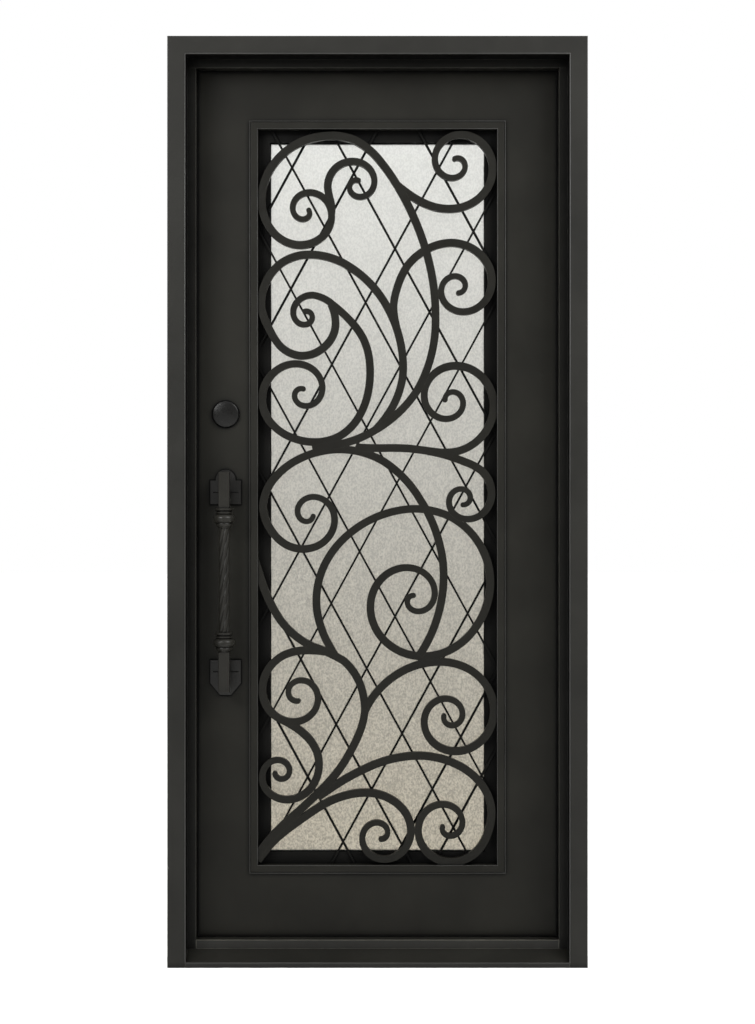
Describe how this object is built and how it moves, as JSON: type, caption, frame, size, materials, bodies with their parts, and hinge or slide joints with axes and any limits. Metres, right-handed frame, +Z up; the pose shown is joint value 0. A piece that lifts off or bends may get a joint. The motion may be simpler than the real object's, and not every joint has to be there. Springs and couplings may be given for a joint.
{
  "type": "wrought iron entry door",
  "caption": "Inward-opening wrought iron entry door in its steel frame, with scrollwork over a textured glass panel, a twisted pull handle and a deadbolt.",
  "frame": {"origin": "middle of the frame's underside, on the floor it stands on", "axes": "+X to the right as seen from outside, +Y into the building, +Z up"},
  "size_m": [0.95, 0.214, 2.105],
  "materials": {
    "frame_paint": "matte",
    "leaf_paint": "matte",
    "iron_scrolls": "matte",
    "iron_pull": "satin",
    "dark_bronze": "satin",
    "hinge_paint": "matte",
    "lock_steel": "brushed",
    "rubber_seal": "matte",
    "rain_glass": "textured"
  },
  "bodies": {
    "door_frame": {"jamb_lock_side": "frame_paint", "jamb_hinge_side": "frame_paint", "frame_head": "frame_paint", "sill": "frame_paint", "stop_lock_side": "frame_paint", "stop_hinge_side": "frame_paint", "stop_head": "frame_paint", "threshold_stop": "frame_paint", "frame_weatherstrip": "rubber_seal", "strike_plate": "lock_steel", "frame_hinge_halves": "hinge_paint"},
    "door_leaf": {"lock_stile": "leaf_paint", "hinge_stile": "leaf_paint", "top_rail": "leaf_paint", "bottom_rail": "leaf_paint", "glazing_moulding": "leaf_paint", "diamond_lattice": "iron_scrolls", "sash_frame": "leaf_paint", "glass_unit": "rain_glass", "glazing_bead": "leaf_paint", "sash_hinges_and_latches": "hinge_paint", "leaf_hinge_halves": "hinge_paint", "bolt_faceplate": "lock_steel", "deadbolt_rose": "dark_bronze", "thumbturn": "dark_bronze", "outer_pull_plates": "iron_pull", "outer_pull_grip": "iron_pull", "inner_pull_plates": "iron_pull", "inner_pull_grip": "iron_pull", "scroll_top_left": "iron_scrolls", "scroll_top_right": "iron_scrolls", "scroll_mid_left": "iron_scrolls", "scroll_inner_left": "iron_scrolls", "scroll_upper_right": "iron_scrolls", "scroll_mid_right": "iron_scrolls", "scroll_centre_left": "iron_scrolls", "scroll_centre_right": "iron_scrolls", "stem_root": "iron_scrolls", "stem_branch": "iron_scrolls", "scroll_lower_left": "iron_scrolls", "small_curls": "iron_scrolls", "scroll_lower_right": "iron_scrolls", "scroll_bottom_right": "iron_scrolls", "scroll_bottom_centre": "iron_scrolls"}
  },
  "joints": [
    {"name": "leaf_swing", "type": "hinge", "parent": "door_frame", "child": "door_leaf", "pos_m": [0.4325, 0.088, 1.05], "axis": [0, 0, -1], "range_deg": [0, 110]}
  ]
}
